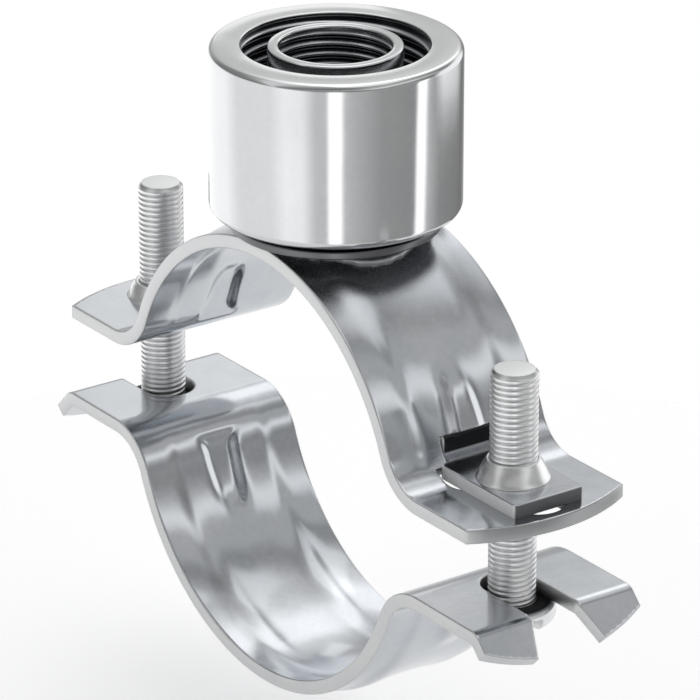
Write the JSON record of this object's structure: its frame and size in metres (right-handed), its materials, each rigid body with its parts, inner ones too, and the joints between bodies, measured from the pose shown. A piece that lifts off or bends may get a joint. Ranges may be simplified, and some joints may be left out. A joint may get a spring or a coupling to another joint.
{
  "type": "pipe clamp",
  "caption": "Split pipe clamp: ribbed half bands with bent ears, a threaded double socket on the crown, a hook-in nut plate and round-headed screws.",
  "frame": {"origin": "centre of the pipe seat: on the pipe's axis, in the middle of the band's width", "axes": "+X towards the ear with the nut plate, +Y along the pipe, +Z from the pipe towards the socket's mouth"},
  "size_m": [0.1321, 0.0422, 0.113],
  "materials": {
    "zinc_sheet": "bright zinc plate on pressed sheet",
    "zinc_turned": "bright zinc plate on a turned surface",
    "zinc_weld": "zinc plate over a weld bead",
    "zinc_screw": "bright zinc plate on rolled threads"
  },
  "bodies": {
    "upper_half": {"upper_band": "zinc_sheet", "connection_socket": "zinc_turned", "inner_sleeve": "zinc_turned", "socket_weld": "zinc_weld", "nut_plate": "zinc_sheet"},
    "lower_half": {"lower_band": "zinc_sheet"},
    "left_screw": {"left_screw": "zinc_screw"},
    "right_screw": {"right_screw": "zinc_screw"}
  },
  "joints": [
    {"name": "lower_slide", "type": "slide", "parent": "upper_half", "child": "lower_half", "axis": [0, 0, 1], "range_m": [-0.01562, 0.01375]},
    {"name": "left_screw_turn", "type": "hinge", "parent": "lower_half", "child": "left_screw", "pos_m": [-0.0532, 0, 0], "axis": [0, 0, 1], "range_deg": [-4501, 3961]},
    {"name": "right_screw_turn", "type": "hinge", "parent": "lower_half", "child": "right_screw", "pos_m": [0.0495, 0, 0], "axis": [0, 0, 1], "range_deg": [-4501, 3961]}
  ],
  "couplings": [
    {"joint": "left_screw_turn", "follows": "lower_slide", "rad_per_m": 5026.5},
    {"joint": "right_screw_turn", "follows": "lower_slide", "rad_per_m": 5026.5}
  ]
}
